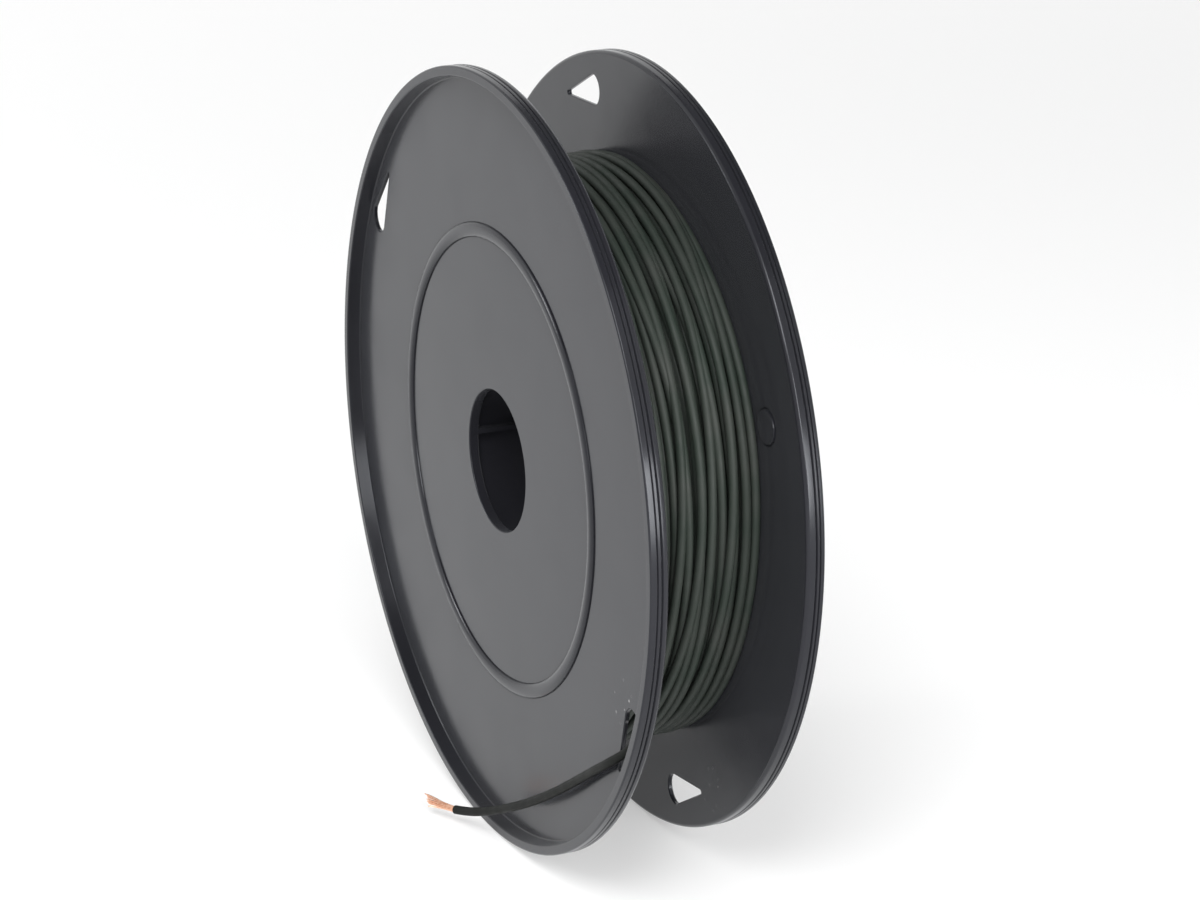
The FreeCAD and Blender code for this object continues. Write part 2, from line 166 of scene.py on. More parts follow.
# Free end, from the last turn through the front half's slot to the insulation's cut end
LEAD_START = 15.0
LEAD_ROUTE = (
    (78.1, -16.15, -22.3),
    (82.2, -16.2, -39.0),
    (79.8, -17.2, -47.1),
    (74.6, -21.7, -52.3),
    (61.8, -21.1, -60.4),
    (47.3, -22.1, -70.4),
    (32.7, -23.4, -79.6),
    (18.5, -25.0, -87.3),
    (8.0, -26.9, -92.2),
    (1.2, -28.4, -94.8),
    (-3.0, -30.2, -95.6),
)

# Copper strands: rings of them round a middle one, with the places of a strand's points along the stripped
# end, which start a little inside the insulation
COPPER_TIP = (-11.1, -34.6, -95.6)
STRAND = 0.31
STRAND_GAP = 0.01
STRAND_RINGS = ((1, 6), (2, 12))
STRAND_SHARES = (-0.12, 0.0, 0.25, 0.5, 0.75, 1.0)
# The bundle's twist in radians, how much and from where it loosens, and from where it parts into two tufts:
# the upper one rises, the lower one sinks by a share of that, and strands this near the middle's height go to
# one of them by their side
STRAND_TWIST = 0.9
LOOSENING = 0.9
LOOSE_FROM = 0.1
PART_FROM = 0.45
TUFT_RISE = 0.75
LOWER_TUFT_SHARE = 0.6
LEVEL_WITHIN = 0.1
STRAND_WANDER = 0.13
# How much longer a strand's last stretch is made, as a share of it, at the least and at the most
TIP_GROWTH = (-0.35, 0.15)

# Finishes: colours from darkest to palest, roughness from smoothest to roughest, the vinyl's specular levels,
# and the part of a noise's range that is spread over these
PLASTIC_TONES = ((0.008, 0.008, 0.010), (0.012, 0.012, 0.015))
PLASTIC_ROUGHNESS = (0.17, 0.25)
WOUND_VINYL_TONES = ((0.018, 0.025, 0.020), (0.029, 0.033, 0.029))
WOUND_VINYL_GLOSS = 0.2
# The lead is the same wire as the winding. Its vinyl is a darker copy of the wound one, which is painted
# shade, and its specular level is lower too.
LEAD_VINYL_SHADED_TONES = ((0.007, 0.008, 0.007), (0.011, 0.012, 0.011))
LEAD_VINYL_GLOSS = 0.1
VINYL_ROUGHNESS = (0.48, 0.62)
COPPER_TONES = ((0.78, 0.42, 0.27), (0.95, 0.66, 0.50))
COPPER_ROUGHNESS = (0.25, 0.4)
NOISE_RANGE = (0.3, 0.7)
GRAIN_HEIGHT = 0.1
# Dust lies in patches near the lower slots of both halves
BLACK = (0, 0, 0)
DUST_TONE = (0.45, 0.45, 0.45)
DUSTY_SPOTS = ((52.0, 17.65, -77.5), (76.5, -18.9, -35.6))
DUSTY_REACH = 7
DUST_PATCH_RANGE = (0.42, 0.52)
SPECK_FADE = 1.6

# Studio, in metres and watts; a lamp is a name, a place, a size and a power
FLOOR_SIZE = 8
FLOOR_TONE = 0.94
FLOOR_SPECULAR = 0.1
FLOOR_GLOW = 0.36
CEILING_PLACE = (-0.2, 0.5, 0.8)
CEILING_SIZE = 1.3
CEILING_TONE = 0.02
STUDIO_ROUGHNESS = 0.9
LAMPS = (
    ("key_right", (1.45, -0.12, 0.55), (0.4, 0.6), 12),
    ("low_right", (1.3, 0.4, 0.08), (0.3, 0.5), 8),
    ("edge_left", (-0.7, -1.2, 0.45), (0.3, 0.3), 4),
    ("top_front", (0.9, -0.6, 1.1), (0.6, 0.6), 14),
)


def only(*pieces):
    """Select these pieces alone, the first one active."""
    bpy.ops.object.select_all(action="DESELECT")
    for piece in pieces:
        piece.select_set(True)
    bpy.context.view_layer.objects.active = pieces[0]


def bake_place(piece):
    """Put the piece's place into its mesh."""
    only(piece)
    bpy.ops.object.transform_apply(location=True, rotation=True, scale=True)


def apply_modifier(piece, kind, **settings):
    only(piece)
    modifier = piece.modifiers.new(kind.title(), kind)
    for name, value in settings.items():
        setattr(modifier, name, value)
    bpy.ops.object.modifier_apply(modifier=modifier.name)


def clean_mesh(piece):
    """Merge doubles and turn the faces outwards."""
    only(piece)
    bpy.ops.object.mode_set(mode="EDIT")
    bpy.ops.mesh.select_all(action="SELECT")
    bpy.ops.mesh.remove_doubles(threshold=MERGE_DISTANCE * MM)
    bpy.ops.mesh.normals_make_consistent(inside=False)
    bpy.ops.object.mode_set(mode="OBJECT")


def smooth_by_angle(piece, degrees):
    only(piece)
    bpy.ops.object.shade_smooth_by_angle(angle=math.radians(degrees))


def joined(pieces, name):
    only(*pieces)
    bpy.ops.object.join()
    pieces[0].name = name
    return pieces[0]


def carve(piece, tool, operation):
    apply_modifier(piece, "BOOLEAN", operation=operation, object=tool, solver="EXACT")
    bpy.data.objects.remove(tool)


def outline_piece(name, places):
    """A ring of edges through the places, made from a circle with as many corners."""
    bpy.ops.mesh.primitive_circle_add(vertices=len(places), radius=1)
    piece = bpy.context.object
    piece.name = name
    for vertex, place in zip(piece.data.vertices, places):
        vertex.co = place
    return piece


def lathe(name, points):
    """A closed outline of (radius, height) turned once about Z."""
    piece = outline_piece(name, [Vector((p[0], 0, p[1])) * MM for p in points])
    only(piece)
    bpy.ops.object.mode_set(mode="EDIT")
    bpy.ops.mesh.select_all(action="SELECT")
    bpy.ops.mesh.spin(steps=TURN_STEPS, angle=2 * math.pi, center=(0, 0, 0), axis=(0, 0, 1))
    bpy.ops.object.mode_set(mode="OBJECT")
    clean_mesh(piece)
    return piece


def prism(name, corners, low, high):
    """An upright prism over a flat outline of (x, y) corners."""
    piece = outline_piece(name, [Vector((x, y, low)) * MM for x, y in corners])
    only(piece)
    bpy.ops.object.mode_set(mode="EDIT")
    bpy.ops.mesh.select_all(action="SELECT")
    bpy.ops.mesh.edge_face_add()
    bpy.ops.mesh.extrude_region_move(TRANSFORM_OT_translate={"value": (0, 0, (high - low) * MM)})
    bpy.ops.object.mode_set(mode="OBJECT")
    clean_mesh(piece)
    return piece


def flared_prism(name, corners, levels):
    """A prism whose outline is spread outwards by a different amount at each level: (height, spread)."""
    rings = []
    for height, spread in levels:
        places = []
        for i, corner in enumerate(corners):
            side = corners[(i + 1) % len(corners)] - corners[i - 1]
            out = Vector((side.y, -side.x)).normalized()
            places.append(Vector((*(corner + out * spread), height)) * MM)
        rings.append(outline_piece(name, places))
    piece = joined(rings, name)
    bpy.ops.object.mode_set(mode="EDIT")
    bpy.ops.mesh.select_all(action="SELECT")
    bpy.ops.mesh.bridge_edge_loops()
    bpy.ops.mesh.select_all(action="SELECT")
    bpy.ops.mesh.fill_holes(sides=0)
    bpy.ops.object.mode_set(mode="OBJECT")
    clean_mesh(piece)
    return piece


def upright_cylinder(radius, low, high, middle):
    """A cylinder from one height to another over a flat place."""
    bpy.ops.mesh.primitive_cylinder_add(
        vertices=PAD_SIDES,
        radius=radius * MM,
        depth=(high - low) * MM,
        location=Vector((*middle, (low + high) / 2)) * MM,
    )
    piece = bpy.context.object
    bake_place(piece)
    return piece


def polar(radius, degrees):
    angle = math.radians(degrees)
    return Vector((radius * math.cos(angle), radius * math.sin(angle)))


def rounded(outline):
    """The outline's corners, each a (radius, height, rounding), with arcs where the rounding isn't zero."""
    points = []
    count = len(outline)
    for i, (radius, height, rounding) in enumerate(outline):
        corner = Vector((radius, height))
        if not rounding:
            points.append(corner)
            continue
        before = (Vector(outline[i - 1][:2]) - corner).normalized()
        after = (Vector(outline[(i + 1) % count][:2]) - corner).normalized()
        half = before.angle(after) / 2
        centre = corner + (before + after).normalized() * (rounding / math.sin(half))
        start = corner + before * (rounding / math.tan(half)) - centre
        stop = corner + after * (rounding / math.tan(half)) - centre
        for step in range(ROUNDING_STEPS + 1):
            share = step / ROUNDING_STEPS
            arm = (start * (1 - share) + stop * share).normalized() * rounding
            points.append(centre + arm)
    return points


def softened(points):
    """The closed outline with its corners cut, again and again."""
    near = 1 - CORNER_CUT
    for _ in range(SOFTENING_ROUNDS):
        pairs = zip(points, points[1:] + points[:1])
        points = [p for a, b in pairs for p in (a * near + b * CORNER_CUT, a * CORNER_CUT + b * near)]
    return points


def arc_points(start, end, rise, steps):
    """Points of the arc that rises over the chord from start to end, ends included."""
    chord = end - start
    half = chord.length / 2
    radius = (half * half + rise * rise) / (2 * rise)
    out = Vector((chord.y, -chord.x)).normalized()
    centre = (start + end) / 2 - out * (radius - rise)
    first = (start - centre).angle_signed(end - centre)
    points = []
    for i in range(steps + 1):
        turn = Matrix.Rotation(-first * i / steps, 2)
        points.append(centre + turn @ (start - centre))
    return points


def ring_sector(inside, outside, middle, half):
    """Corners of a sector of a ring, both curved sides in short steps."""
    angles = [middle - half + 2 * half * i / SECTOR_STEPS for i in range(SECTOR_STEPS + 1)]
    return [polar(inside, a) for a in angles] + [polar(outside, a) for a in reversed(angles)]


def slot_outline(radius, angle):
    """A wedge slot: a narrow round end at the radius and angle, two straight sides and a wide curved end."""
    tip = polar(radius, angle)
    wide = tip + polar(1, angle + 90 + SLOT_LEAN) * SLOT_LENGTH
    half_across = polar(1, angle + SLOT_LEAN) / 2
    tip_side = half_across * SLOT_TIP_WIDTH
    wide_side = half_across * SLOT_WIDTH
    narrow_end = arc_points(tip - tip_side, tip + tip_side, SLOT_TIP_BULGE, SLOT_TIP_STEPS)
    wide_end = arc_points(wide + wide_side, wide - wide_side, SLOT_BULGE, SLOT_WIDE_STEPS)
    outline = []
    for end, other in ((narrow_end, wide_end), (wide_end, narrow_end)):
        arriving = (end[0] - other[-1]).normalized() * SLOT_SOFTENING
        leaving = (other[0] - end[-1]).normalized() * SLOT_SOFTENING
        outline += [end[0] - arriving] + end + [end[-1] + leaving]
    return softened(outline)


def bead_outline(floor):
    """The bead's round top and the fine groove at its foot on both sides."""
    inside = BEAD_RADIUS - BEAD_WIDTH / 2
    outside = BEAD_RADIUS + BEAD_WIDTH / 2
    foot = floor - BEAD_GROOVE_DEPTH
    corners = [(inside - BEAD_GROOVE_WIDTH, floor, 0), (inside, foot, 0)]
    for i in range(1, BEAD_STEPS):
        angle = math.pi * (1 - i / BEAD_STEPS)
        radius = BEAD_RADIUS + BEAD_WIDTH / 2 * math.cos(angle)
        corners.append((radius, floor + BEAD_HEIGHT * math.sin(angle), 0))
    return corners + [(outside, foot, 0), (outside + BEAD_GROOVE_WIDTH, floor, 0)]


def groove_outline(rim_radius, top, grooves):
    """The grooves round the rim, from the outer edge inwards."""
    corners = []
    for distance, width, depth in grooves:
        corners += [
            (rim_radius, top - distance + width / 2, RIM_GROOVE_ROUNDING),
            (rim_radius - depth, top - distance, 0),
            (rim_radius, top - distance - width / 2, RIM_GROOVE_ROUNDING),
        ]
    return corners


def slot_cutters(rim_radius, slots, inner, floor):
    """Cutters for the cable slots, flared at both faces of the disc."""
    inset, angles = slots
    levels = [(inner - CUT_PAST_FACE, SLOT_EDGE), (inner, SLOT_EDGE), (inner + SLOT_EDGE, 0)]
    levels += [(inner + floor - height, spread) for height, spread in reversed(levels)]
    return [flared_prism("slot", slot_outline(rim_radius - inset, angle), levels) for angle in angles]


def finger_gap_cutters():
    """Cutters for the gaps between the fingers, as wide as the other half's fingers and their play."""
    inside = HUB_RADIUS - HUB_WALL - CUT_PAST_WALL
    outside = HUB_RADIUS + CUT_PAST_WALL
    step = 180 / FINGERS
    cutters = []
    for i in range(FINGERS):
        middle = FINGER_ANGLE + step * (2 * i + 1)
        corners = ring_sector(inside, outside, middle, step / 2 + FINGER_SIDE_PLAY)
        cutters.append(prism("gap", corners, -FINGER_LENGTH - CUT_PAST_FACE, FINGER_LENGTH + FINGER_PLAY))
    return cutters


def hub_ribs(collar):
    """Slim ribs inside the hub tube, from its wall to the bore's radius, up to the collar."""
    ribs = []
    for i in range(RIBS):
        middle = FINGER_ANGLE + 360 / RIBS * i
        along = polar(1, middle)
        across = polar(RIB_WIDTH / 2, middle + 90)
        edge = along * BORE_RADIUS
        root = along * (HUB_RADIUS - HUB_WALL / 2)
        corners = [edge - across, root - across, root + across, edge + across]
        ribs.append(prism("rib", corners, 0, collar + SINK))
    return ribs


def flange_half(name, rim_radius, half_width, slots, rim_grooves, tip):
    """One moulding: a turned body, then the slots and finger gaps cut away, then ribs and the pad added."""
    top = half_width
    floor = top - LIP_HEIGHT
    inner = floor - DISC_THICKNESS
    collar = floor - BORE_COLLAR
    lip = rim_radius - LIP_WIDTH
    barrel_inside = BARREL_RADIUS - BARREL_WALL
    hub_inside = HUB_RADIUS - HUB_WALL

    outline = [(BORE_RADIUS, floor, BORE_ROUNDING)]
    outline += bead_outline(floor)
    outline += [
        (lip - LIP_DRAFT, floor, LIP_FOOT_ROUNDING),
        (lip, top, LIP_EDGE_ROUNDING),
        (rim_radius, top, RIM_EDGE_ROUNDING),
    ]
    outline += groove_outline(rim_radius, top, rim_grooves)
    outline += [
        (rim_radius, inner, RIM_BACK_ROUNDING),
        (BARREL_RADIUS, inner, BARREL_FOOT_ROUNDING),
        (BARREL_RADIUS, 0, 0),
        (barrel_inside, 0, 0),
        (barrel_inside, inner, WALL_FOOT_ROUNDING),
        (HUB_RADIUS, inner, WALL_FOOT_ROUNDING),
        (HUB_RADIUS, -FINGER_LENGTH, HUB_ROUNDING),
        (hub_inside, -FINGER_LENGTH, HUB_ROUNDING),
        (hub_inside, collar, HUB_ROUNDING),
        (BORE_RADIUS, collar, BORE_ROUNDING),
    ]
    piece = lathe(name, rounded(outline))

    pad_middle = polar(rim_radius - PAD_INSET, PAD_ANGLE)
    pad_groove = PAD_RADIUS + PAD_GROOVE_WIDTH
    cutters = slot_cutters(rim_radius, slots, inner, floor) + finger_gap_cutters()
    cutters.append(upright_cylinder(pad_groove, inner - CUT_PAST_FACE, inner + PAD_GROOVE_DEPTH, pad_middle))
    carve(piece, joined(cutters, "cutter"), "DIFFERENCE")

    added = hub_ribs(collar)
    pad = upright_cylinder(PAD_RADIUS, inner - PAD_HEIGHT, inner + PAD_HEIGHT, pad_middle)
    apply_modifier(pad, "BEVEL", width=PAD_EDGE * MM, segments=2)
    added.append(pad)
    carve(piece, joined(added, "addition"), "UNION")

    spin = Matrix.Rotation(math.radians(-HALF_TURN), 4, "Y")
    piece.matrix_world = spin @ Matrix.Rotation(math.radians(tip), 4, "X")
    bake_place(piece)
    clean_mesh(piece)
    smooth_by_angle(piece, MOULDED_SMOOTHING)
    apply_modifier(piece, "WEIGHTED_NORMAL", keep_sharp=True)
    return piece


def smooth_step(share):
    """The share with an eased start and end, kept between none and all."""
    share = min(max(share, 0), 1)
    return share * share * (3 - 2 * share)


def average(values):
    return sum(values) / len(values)


def smoothed(values, reach, pick=average):
    """Each value as what pick makes of it and its neighbours on both sides."""
    return [pick(values[max(0, i - reach):i + reach + 1]) for i in range(len(values))]


def wound_bump(angle, across):
    """How much the winding stands proud of its even radius, towards the rear flange."""
    away = (angle - BUMP_ANGLE + 180) % 360 - 180
    around = math.exp(-(away / BUMP_SPREAD) ** 2)
    return BUMP_HEIGHT * around * smooth_step((across - BUMP_START) / BUMP_RISE_WIDTH)


def layer_places(turns, start_across, end_across, end_angle, cross_middle, cross_swing, seed):
    """Points of one wound layer: (angle, across, lift).

    Each turn keeps to its lane and crosses to the next within a short stretch; where it comes down on an
    earlier turn, it is lifted over it.
    """
    chance = random.Random(seed)
    lanes = math.ceil(turns)
    widths = [1 + LANE_UNEVENNESS * chance.uniform(-1, 1) for _ in range(lanes)]
    width = end_across - start_across
    total = sum(widths[:-1])
    lane_at = [start_across + width * sum(widths[:k]) / total for k in range(lanes)] + [end_across]
    cross_at = []
    for k in range(lanes):
        swing = cross_swing * math.sin(CROSSING_ADVANCE * k + seed)
        cross_at.append(cross_middle + swing + chance.uniform(-CROSSING_JITTER, CROSSING_JITTER))
    cross_over = [chance.uniform(*CROSSING_LENGTHS) for _ in range(lanes)]

    count = round(turns * TURN_POINTS)
    across = []
    for i in range(count + 1):
        lane = min(i // TURN_POINTS, lanes - 1)
        part = i / TURN_POINTS - lane
        share = smooth_step((part - cross_at[lane]) / cross_over[lane] + 0.5)
        fade = min(1, (count - i) / TURN_POINTS)
        sway = SWAY * math.sin(2 * math.pi * SWAYS_PER_TURN * i / TURN_POINTS + lane) * fade
        across.append(lane_at[lane] * (1 - share) + lane_at[lane + 1] * share + sway)
    across = smoothed(across, LANE_SMOOTHING)

    lift = [0.0] * (count + 1)
    for i in range(TURN_POINTS, count + 1):
        for back in (TURN_POINTS, 2 * TURN_POINTS):
            if back <= i:
                apart = abs(across[i] - across[i - back])
                need = math.sqrt(max(WIRE ** 2 - apart ** 2, 0))
                climb = need + lift[i - back] if need > CLIMB_FROM else need * PRESSED_SHARE
                lift[i] = max(lift[i], climb)
    lift = [min(v, LIFT_LIMIT) for v in smoothed(smoothed(lift, LIFT_SPREAD, max), LIFT_SMOOTHING)]
    last_quarter = TURN_POINTS // 4
    lift = [v * min(1, (count - i) / last_quarter) for i, v in enumerate(lift)]
    return [(end_angle + 360 * (count - i) / TURN_POINTS, across[i], lift[i]) for i in range(count + 1)]


def cord_curve(name, points, diameter):
    """A round cord along the points, left as a curve, with its ends closed."""
    curve = bpy.data.curves.new(name, "CURVE")
    curve.dimensions = "3D"
    spline = curve.splines.new("NURBS")
    spline.points.add(len(points) - 1)
    for point, place in zip(spline.points, points):
        point.co = (*(place * MM), 1)
    spline.order_u = 3
    spline.use_endpoint_u = True
    spline.resolution_u = 12
    curve.bevel_depth = diameter / 2 * MM
    curve.bevel_resolution = 6
    curve.use_fill_caps = True
    piece = bpy.data.objects.new(name, curve)
    bpy.context.collection.objects.link(piece)
    return piece


def wound_tube(name, radius, places, straight_end=False, climb=0.0):
    """One unbroken tube through the places, round the spool's axis; climb is how far below it starts."""
    points = []
    for i, (angle, across, lift) in enumerate(places):
        reach = radius + lift + wound_bump(angle, across) - climb * (1 - smooth_step(i / CLIMB_POINTS))
        flat = polar(reach, angle)
        points.append(Vector((flat.x, across, flat.y)))
    if straight_end:
        points.append(points[-1] + (points[-1] - points[-2]).normalized() * WIRE)
    piece = cord_curve(name, points, WIRE)
    spline = piece.data.splines[0]
    spline.order_u = 4
    spline.resolution_u = 2
    piece.data.bevel_resolution = 4
    only(piece)
    bpy.ops.object.convert(target="MESH")
    bpy.ops.object.shade_smooth()
    return piece


def wire_core(reach):
    """The layers further in: a ring with a ridge for each turn."""
    inner = BARREL_RADIUS + CORE_CLEARANCE
    outer = WOUND_RADIUS - WIRE / 2 - 2 * LAYER_RISE
    pitch = 2 * reach / CORE_TURNS
    outline = [(inner, reach), (inner, -reach)]
    for i in range(CORE_TURNS):
        for j in range(RIDGE_STEPS):
            angle = math.pi * (j + 0.5) / RIDGE_STEPS
            radius = outer + WIRE / 2 * math.sin(angle)
            outline.append((radius, -reach + pitch * (i + 0.5) - pitch / 2 * math.cos(angle)))
    piece = lathe("wire_core", outline)
    piece.matrix_world = Matrix.Rotation(math.radians(-90), 4, "X")
    bake_place(piece)
    smooth_by_angle(piece, RIDGE_SMOOTHING)
    return piece


def lead_points():
    """The lead's route as in the construction: its two worked-out points and the listed ones."""
    angle = math.radians(LAST_TURN_ANGLE)
    radius = WOUND_RADIUS - WIRE / 2
    last = Vector((radius * math.cos(angle), -WOUND_REACH, radius * math.sin(angle)))
    way = Vector((math.sin(angle), 0, -math.cos(angle)))
    start = last + way * WIRE
    return [start, start + way * LEAD_START] + [Vector(p) for p in LEAD_ROUTE]


def strand_spots():
    """Places in the bundle: one in the middle, six round it and twelve round those."""
    pitch = STRAND + STRAND_GAP
    spots = [(0.0, 0.0)]
    for ring, count in STRAND_RINGS:
        for i in range(count):
            angle = 2 * math.pi * i / count
            reach = pitch * math.sqrt(3) if ring == 2 and i % 2 else pitch * ring
            spots.append((reach * math.cos(angle), reach * math.sin(angle)))
    return spots


def copper_strand(number, side, rise, root, beside, upward):
    """One strand of the stripped end, from its place in the bundle to its own tip in one of two tufts."""
    chance = random.Random(number)
    upper = rise > LEVEL_WITHIN or (abs(rise) <= LEVEL_WITHIN and side < 0)
    reach = Vector(COPPER_TIP) - root
    points = []
    for share in STRAND_SHARES:
        turn = Matrix.Rotation(STRAND_TWIST * max(share, 0), 2)
        flat = turn @ Vector((side, rise))
        loose = 1 + LOOSENING * max(share - LOOSE_FROM, 0)
        split = TUFT_RISE * max(share - PART_FROM, 0) / (1 - PART_FROM) * (1 if upper else -LOWER_TUFT_SHARE)
        wander = STRAND_WANDER * max(share, 0) ** 2
        place = root + reach * share
        place += beside * (flat.x * loose + chance.uniform(-wander, wander))
        place += upward * (flat.y * loose + split + chance.uniform(-wander, wander))
        points.append(place)
    points[-1] += (points[-1] - points[-2]) * chance.uniform(*TIP_GROWTH)
    return cord_curve(f"copper_wire_{number:02d}", points, STRAND)


class Material:
    """A procedural material built up node by node."""

    def __init__(self, name):
        self.material = bpy.data.materials.new(name)
        self.material.use_nodes = True
        self.tree = self.material.node_tree
        self.shader = self.tree.nodes["Principled BSDF"]
        self.place = self.add("ShaderNodeTexCoord").outputs["Object"]

    def add(self, kind, **settings):
        node = self.tree.nodes.new(kind)
        for name, value in settings.items():
            setattr(node, name, value)
        return node

    def link(self, source, target):
        self.tree.links.new(source, target)

    def even(self, values):
        """Values of the shader that are the same all over the surface."""
        for name, value in values.items():
            self.shader.inputs[name].default_value = value

    def uneven(self, name, source):
        """A value of the shader that changes over the surface."""
        self.link(source, self.shader.inputs[name])

    def noise(self, scale, detail):
        node = self.add("ShaderNodeTexNoise")
        node.inputs["Scale"].default_value = scale
        node.inputs["Detail"].default_value = detail
        self.link(self.place, node.inputs["Vector"])
        return node.outputs["Fac"]

    def ramp(self, source, low, high, start, stop):
        """Source mapped from low..high to the two colours or greys start and stop."""
        node = self.add("ShaderNodeValToRGB")
        node.color_ramp.elements[0].position = low
        node.color_ramp.elements[1].position = high
        for element, value in zip(node.color_ramp.elements, (start, stop)):
            element.color = (*value, 1) if hasattr(value, "__len__") else (value, value, value, 1)
        self.link(source, node.inputs["Fac"])
        return node.outputs["Color"]

    def clouded(self, tones, scale, detail):
        """Soft clouds of that scale between the two tones."""
        return self.ramp(self.noise(scale, detail), *NOISE_RANGE, *tones)

    def mix(self, share, first, second):
        """From the first colour to the second by the share; a colour is three numbers or another node's."""
        node = self.add("ShaderNodeMix", data_type="RGBA")
        self.link(share, node.inputs[0])
        # Inputs 6 and 7 are the two colours, and output 2 is their mix
        for socket, colour in ((6, first), (7, second)):
            if isinstance(colour, bpy.types.NodeSocket):
                self.link(colour, node.inputs[socket])
            else:
                node.inputs[socket].default_value = (*colour, 1)
        return node.outputs[2]

    def grain(self, scale, detail, strength):
        """A fine grain in the surface."""
        node = self.add("ShaderNodeBump")
        node.inputs["Strength"].default_value = strength
        node.inputs["Distance"].default_value = GRAIN_HEIGHT * MM
        self.link(self.noise(scale, detail), node.inputs["Height"])
        self.uneven("Normal", node.outputs["Normal"])

    def near(self, place, reach):
        """How near a spot: one there, none at the reach."""
        node = self.add("ShaderNodeVectorMath", operation="DISTANCE")
        self.link(self.place, node.inputs[0])
        node.inputs[1].default_value = Vector(place) * MM
        return self.ramp(node.outputs["Value"], 0.0, reach * MM, 1.0, 0.0)

    def specks(self, scale, size):
        """Small round specks, one in each cell of a grid of that scale."""
        node = self.add("ShaderNodeTexVoronoi", feature="F1")
        node.inputs["Scale"].default_value = scale
        self.link(self.place, node.inputs["Vector"])
        return self.ramp(node.outputs["Distance"], size, size * SPECK_FADE, 1.0, 0.0)


def moulded_plastic():
    """Black plastic with a cool sheen and a few specks of dust in two places."""
    m = Material("moulded_plastic")
    base = m.clouded(PLASTIC_TONES, scale=14, detail=2)
    specks = m.specks(scale=420, size=0.13)
    dusty = BLACK
    for spot in DUSTY_SPOTS:
        dusty = m.mix(m.near(spot, DUSTY_REACH), dusty, specks)
    patchy = m.ramp(m.noise(scale=250, detail=2), *DUST_PATCH_RANGE, 0.0, 1.0)
    m.uneven("Base Color", m.mix(m.mix(patchy, BLACK, dusty), base, DUST_TONE))
    m.uneven("Roughness", m.clouded(PLASTIC_ROUGHNESS, scale=60, detail=4))
    m.grain(scale=900, detail=2, strength=0.06)
    m.even({
        "Specular IOR Level": 0.25,
        "Specular Tint": (0.92, 0.95, 1.0, 1),
        "Sheen Weight": 0.06,
        "Sheen Roughness": 0.5,
        "Sheen Tint": (0.9, 0.94, 1.0, 1),
    })
    return m.material


def vinyl_insulation(name, tones, gloss):
    """Soft dark vinyl, nearly matt."""
    m = Material(name)
    m.uneven("Base Color", m.clouded(tones, scale=90, detail=3))
    m.uneven("Roughness", m.clouded(VINYL_ROUGHNESS, scale=300, detail=3))
    m.grain(scale=1500, detail=2, strength=0.08)
    m.even({"Specular IOR Level": gloss})
    return m.material


def bare_copper():
    """Bright copper that shows as drawn and freshly cut."""
    m = Material("bare_copper")
    m.uneven("Base Color", m.clouded(COPPER_TONES, scale=700, detail=2))
    m.uneven("Roughness", m.clouded(COPPER_ROUGHNESS, scale=1500, detail=2))
    m.even({"Metallic": 1.0})
    return m.material


def studio_plane(name, size, place, tone):
    """A matt grey plane with a material of its own."""
    bpy.ops.mesh.primitive_plane_add(size=size, location=place)
    plane = bpy.context.object
    plane.name = name
    material = bpy.data.materials.new(name)
    material.use_nodes = True
    shader = material.node_tree.nodes["Principled BSDF"]
    shader.inputs["Base Color"].default_value = (tone, tone, tone, 1)
    shader.inputs["Roughness"].default_value = STUDIO_ROUGHNESS
    plane.data.materials.append(material)
    return plane


def seen_white(tree):
    """Camera, glossy and transmitted rays: where the pale studio is seen rather than lights."""
    path = tree.nodes.new("ShaderNodeLightPath")
    total = path.outputs["Is Camera Ray"]
    for ray in ("Is Glossy Ray", "Is Transmission Ray"):
        node = tree.nodes.new("ShaderNodeMath")
        node.operation = "ADD"
        node.use_clamp = True
        tree.links.new(total, node.inputs[0])
        tree.links.new(path.outputs[ray], node.inputs[1])
        total = node.outputs[0]
    return total


def pale_floor(level):
    """A pale floor that shows nearly white, with the spool's soft shadow on it."""
    floor = studio_plane("studio_floor", FLOOR_SIZE, (0, 0, level), FLOOR_TONE)
    tree = floor.active_material.node_tree
    shader = tree.nodes["Principled BSDF"]
    shader.inputs["Specular IOR Level"].default_value = FLOOR_SPECULAR
    glow = tree.nodes.new("ShaderNodeEmission")
    blend = tree.nodes.new("ShaderNodeMixShader")
    share = tree.nodes.new("ShaderNodeMath")
    share.operation = "MULTIPLY"
    share.inputs[1].default_value = FLOOR_GLOW
    tree.links.new(seen_white(tree), share.inputs[0])
    tree.links.new(share.outputs[0], blend.inputs[0])
    tree.links.new(shader.outputs[0], blend.inputs[1])
    tree.links.new(glow.outputs[0], blend.inputs[2])
    tree.links.new(blend.outputs[0], tree.nodes["Material Output"].inputs[0])


def dark_ceiling():
    """The unlit part of the studio's top, behind the spool, which the rims' upper parts mirror."""
    ceiling = studio_plane("studio_ceiling", CEILING_SIZE, CEILING_PLACE, CEILING_TONE)
    ceiling.visible_camera = False


def white_world():
    """A white studio all round, at the world's own strength of 1."""
    world = bpy.data.worlds.new("studio")
    bpy.context.scene.world = world
    world.use_nodes = True
    world.node_tree.nodes["Background"].inputs["Color"].default_value = (1, 1, 1, 1)


def soft_lamp(name, place, size, watts):
    """A rectangular lamp that is aimed at the spool's middle."""
    bpy.ops.object.light_add(type="AREA", location=place)
    lamp = bpy.context.object
    lamp.name = name
    lamp.data.shape = "RECTANGLE"
    lamp.data.size, lamp.data.size_y = size
    lamp.data.energy = watts
    lamp.rotation_euler = (-Vector(place)).to_track_quat("-Z", "Y").to_euler()


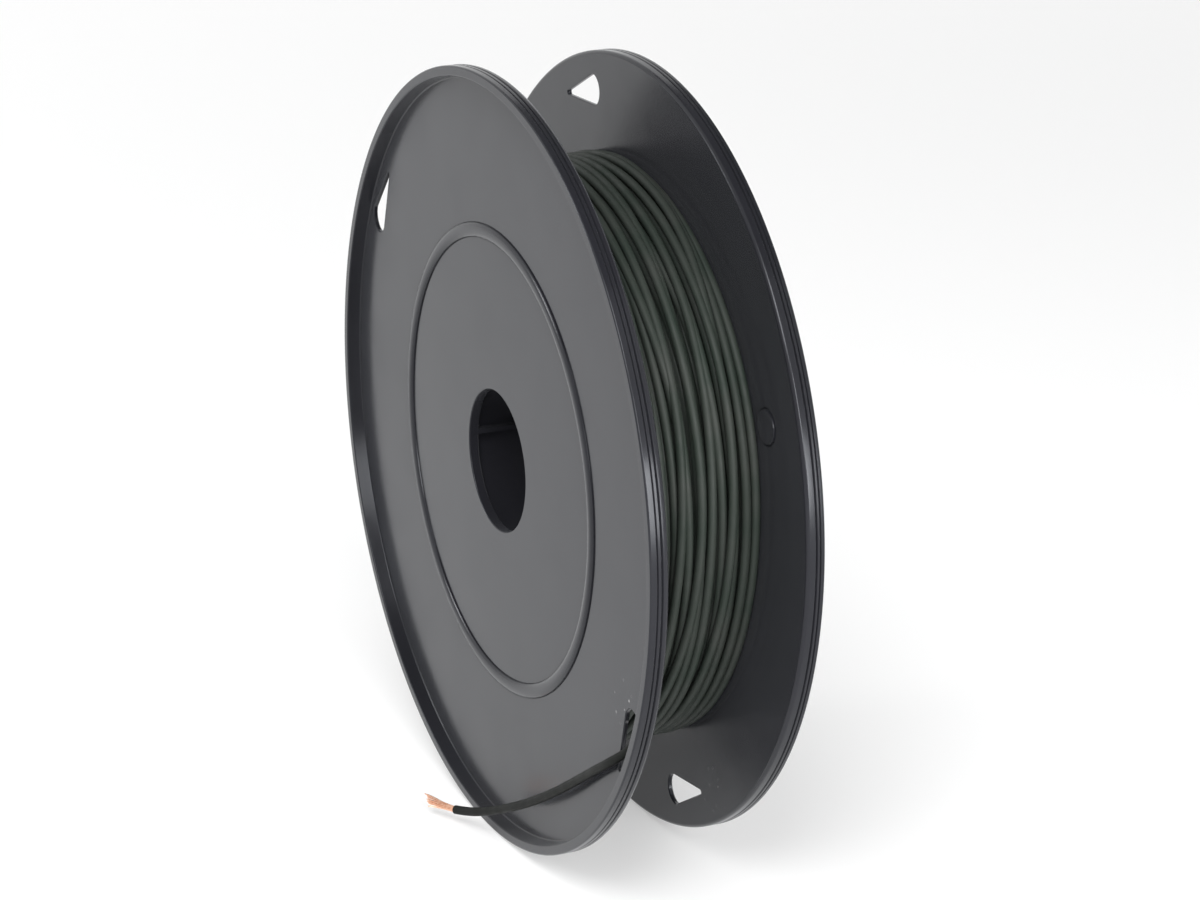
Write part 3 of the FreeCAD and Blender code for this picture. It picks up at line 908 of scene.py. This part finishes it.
def photograph_camera():
    azimuth = math.radians(CAMERA_AZIMUTH)
    elevation = math.radians(CAMERA_ELEVATION)
    turn = Matrix.Rotation(azimuth, 4, "Z") @ Matrix.Rotation(math.pi / 2 - elevation, 4, "X")
    offset = Vector((*CAMERA_OFF_CENTRE, CAMERA_DISTANCE)) * MM
    bpy.ops.object.camera_add()
    camera = bpy.context.object
    camera.matrix_world = turn @ Matrix.Translation(offset)
    camera.data.sensor_width = CAMERA_SENSOR
    camera.data.lens = CAMERA_LENS
    camera.data.clip_start = CAMERA_CLIP_START * MM
    bpy.context.scene.camera = camera


def dress(piece, material, node):
    """Give a piece its material and its place on the spool, instead of this node."""
    piece.data.materials.clear()
    piece.data.materials.append(material)
    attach(piece, "root")
    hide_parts(node)


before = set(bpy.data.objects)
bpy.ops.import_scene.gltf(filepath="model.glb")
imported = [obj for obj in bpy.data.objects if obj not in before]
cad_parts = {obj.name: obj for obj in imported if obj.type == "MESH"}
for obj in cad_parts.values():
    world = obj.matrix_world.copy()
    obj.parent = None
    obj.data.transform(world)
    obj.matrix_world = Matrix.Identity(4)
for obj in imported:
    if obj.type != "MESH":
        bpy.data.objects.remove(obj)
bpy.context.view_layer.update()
bpy.ops.object.select_all(action="DESELECT")
_, far_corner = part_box("flange_half_rear")
rim_radius = far_corner.z / MM
half_width = far_corner.y / MM

plastic = moulded_plastic()
vinyl = vinyl_insulation("vinyl_wound", WOUND_VINYL_TONES, WOUND_VINYL_GLOSS)
# A darker copy of the same vinyl for the lead: painted shade.
lead_vinyl_painted_shade = vinyl_insulation("vinyl_lead_painted_shade", LEAD_VINYL_SHADED_TONES, LEAD_VINYL_GLOSS)
copper = bare_copper()

front = flange_half("moulded_half_front", rim_radius, half_width, FRONT_SLOTS, FRONT_GROOVES, 90)
dress(front, plastic, "flange_half_front")
rear = flange_half("moulded_half_rear", rim_radius, half_width, REAR_SLOTS, REAR_GROOVES, -90)
dress(rear, plastic, "flange_half_rear")

inner_reach = half_width - LIP_HEIGHT - DISC_THICKNESS
wound_reach = inner_reach - WIRE / 2 - WOUND_CLEARANCE
outer_places = layer_places(OUTER_TURNS, wound_reach, -WOUND_REACH, LAST_TURN_ANGLE, *OUTER_CROSSINGS)
outer = wound_tube("wound_outer_layer", WOUND_RADIUS - WIRE / 2, outer_places, True, LAYER_RISE)
dress(outer, vinyl, "cable_outer_layer")
below_end = LAST_TURN_ANGLE + 360 * OUTER_TURNS
below_places = layer_places(BELOW_TURNS, -wound_reach, wound_reach, below_end, *BELOW_CROSSINGS)
below = wound_tube("wound_layer_below", WOUND_RADIUS - WIRE / 2 - LAYER_RISE, below_places)
dress(below, vinyl, "cable_inner_layers")
core = wire_core(inner_reach - CORE_CLEARANCE)
dress(core, vinyl, "cable_inner_layers")

points = lead_points()
lead = cord_curve("free_lead", points, WIRE)
dress(lead, lead_vinyl_painted_shade, "cable_lead")
root = points[-1]
ahead = (points[-1] - points[-2]).normalized()
beside = ahead.cross(Vector((0, 0, 1))).normalized()
upward = beside.cross(ahead)
for number, (side, rise) in enumerate(strand_spots(), start=1):
    strand = copper_strand(number, side, rise, root, beside, upward)
    dress(strand, copper, f"copper_strand_{number:02d}")

pale_floor(-rim_radius * MM)
dark_ceiling()
white_world()
for lamp in LAMPS:
    soft_lamp(*lamp)
photograph_camera()
bpy.context.scene.view_settings.view_transform = "Standard"
